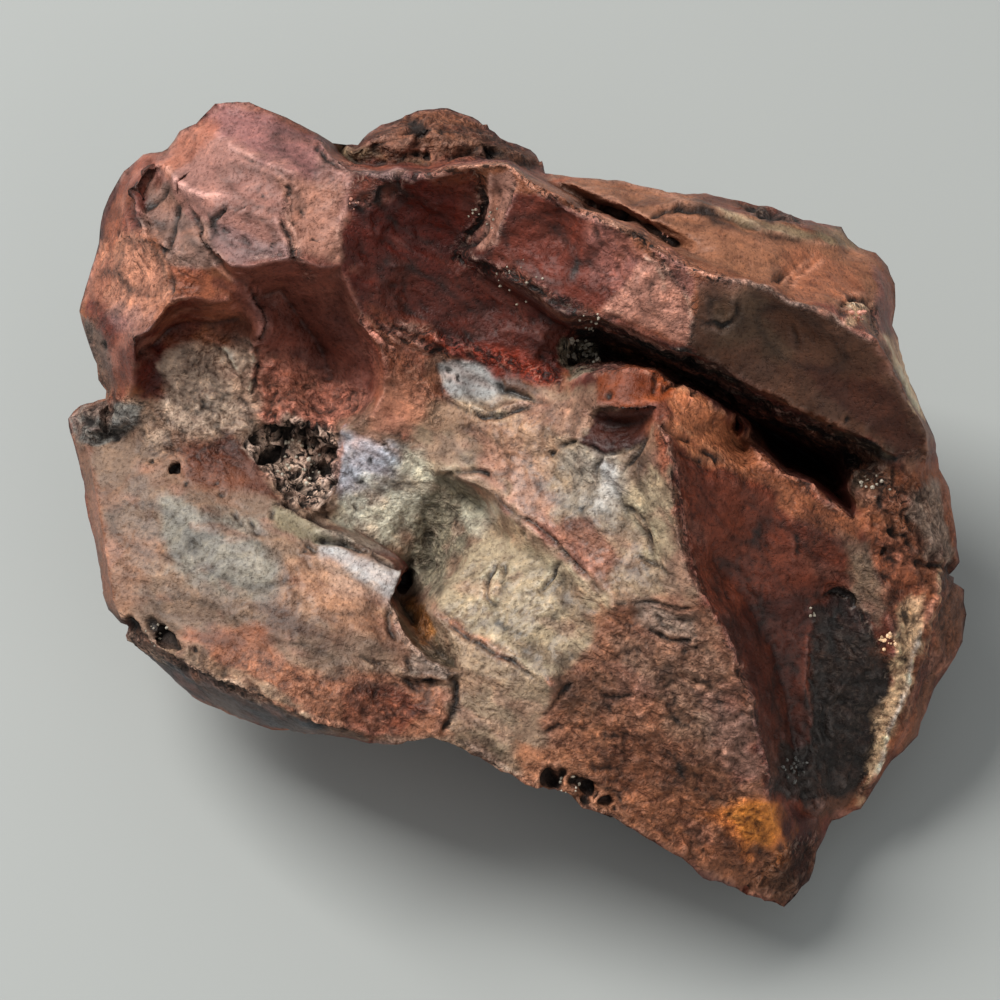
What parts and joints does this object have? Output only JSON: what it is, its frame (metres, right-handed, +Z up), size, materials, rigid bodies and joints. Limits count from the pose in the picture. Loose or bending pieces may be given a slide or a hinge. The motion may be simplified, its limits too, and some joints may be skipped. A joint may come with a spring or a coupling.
{
  "type": "rough jasper stone",
  "caption": "Broken, uncut piece of brown-red jasper with glossy shell-shaped fractures, a deep dark slot and a sharp front ridge, resting on a small flat spot.",
  "frame": {"origin": "middle of the box around the stone, on the surface it rests on", "axes": "+X along the stone's length, +Y from the broken front towards the back, +Z up"},
  "size_m": [0.0838, 0.0676, 0.0474],
  "materials": {
    "jasper": "waxy to glossy fracture faces, dull pitted crusts"
  },
  "bodies": {
    "root": {"jasper_stone": "jasper"}
  },
  "joints": []
}
